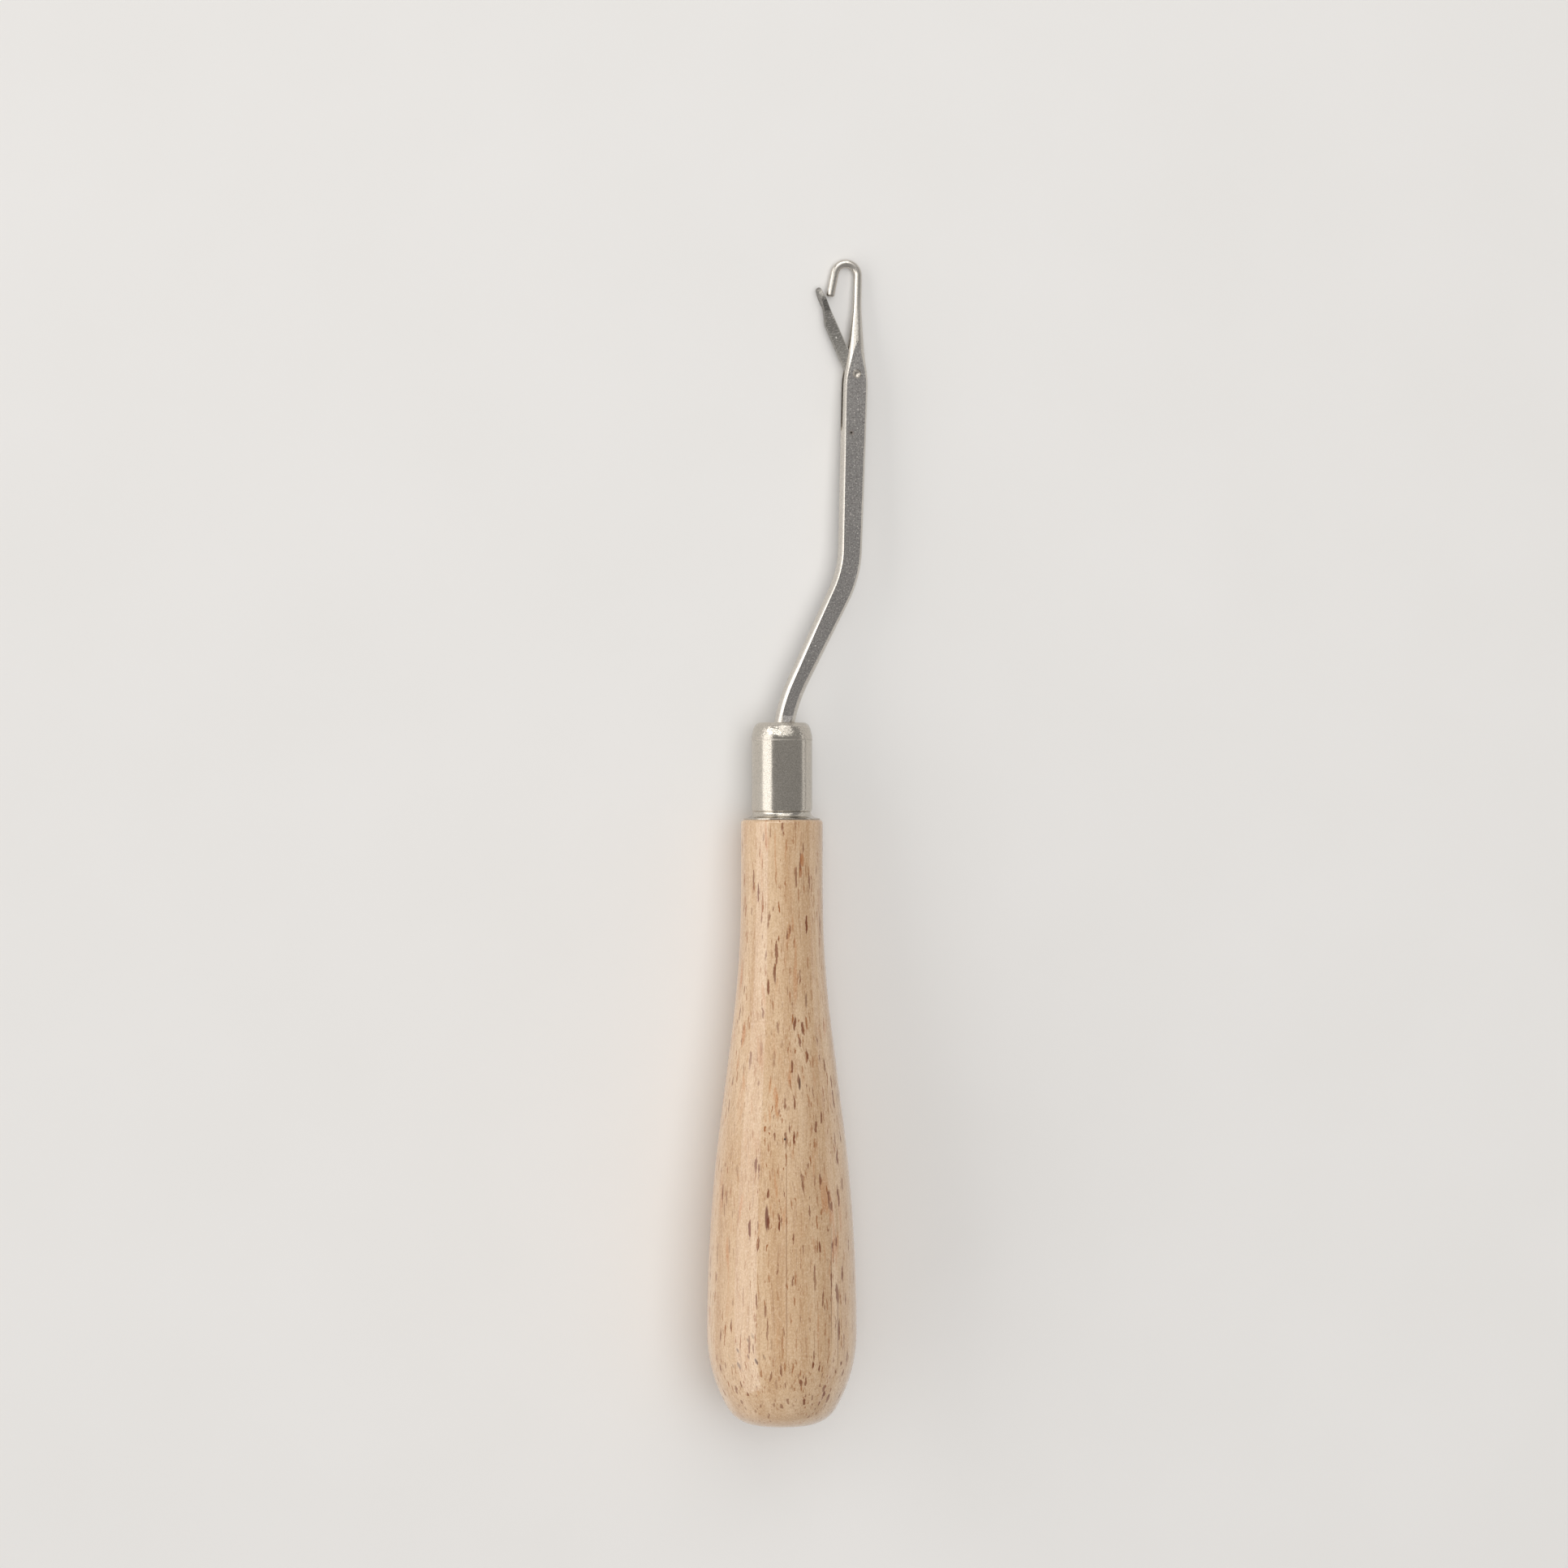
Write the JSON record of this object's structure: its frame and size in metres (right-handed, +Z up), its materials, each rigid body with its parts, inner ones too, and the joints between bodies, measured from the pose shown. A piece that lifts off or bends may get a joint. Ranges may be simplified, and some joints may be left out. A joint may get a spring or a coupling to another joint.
{
  "type": "latch hook",
  "caption": "Latch hook for knotting rug yarn: a bent, flattened steel shank with a small hook, a swinging latch in its slotted cheeks, a metal ferrule and a turned wooden handle.",
  "frame": {"origin": "on the table, under the middle of the box round the tool as it rests on its bulb and its hook", "axes": "+Z up from the table; +Y along the tool towards its hook, level, with the handle's axis dipping 4 degrees below it; +X to the side that the shank bends to, away from the latch's open side"},
  "size_m": [0.0224, 0.1598, 0.0211],
  "materials": {
    "handle_wood": "clear varnished pale hardwood with short brown pores",
    "ferrule_nickel": "polished nickel plate",
    "shank_steel": "satin",
    "latch_steel": "dull, finely milled",
    "rivet_steel": "polished ends"
  },
  "bodies": {
    "tool": {"handle": "handle_wood", "ferrule": "ferrule_nickel", "hook_shank": "shank_steel", "latch_rivet": "rivet_steel"},
    "latch_body": {"latch": "latch_steel"}
  },
  "joints": [
    {"name": "latch_pivot", "type": "hinge", "parent": "tool", "child": "latch_body", "pos_m": [0.0094, 0.06414, 0.00168], "axis": [0, 0.0695, 0.9976], "range_deg": [0, 133.85]}
  ]
}
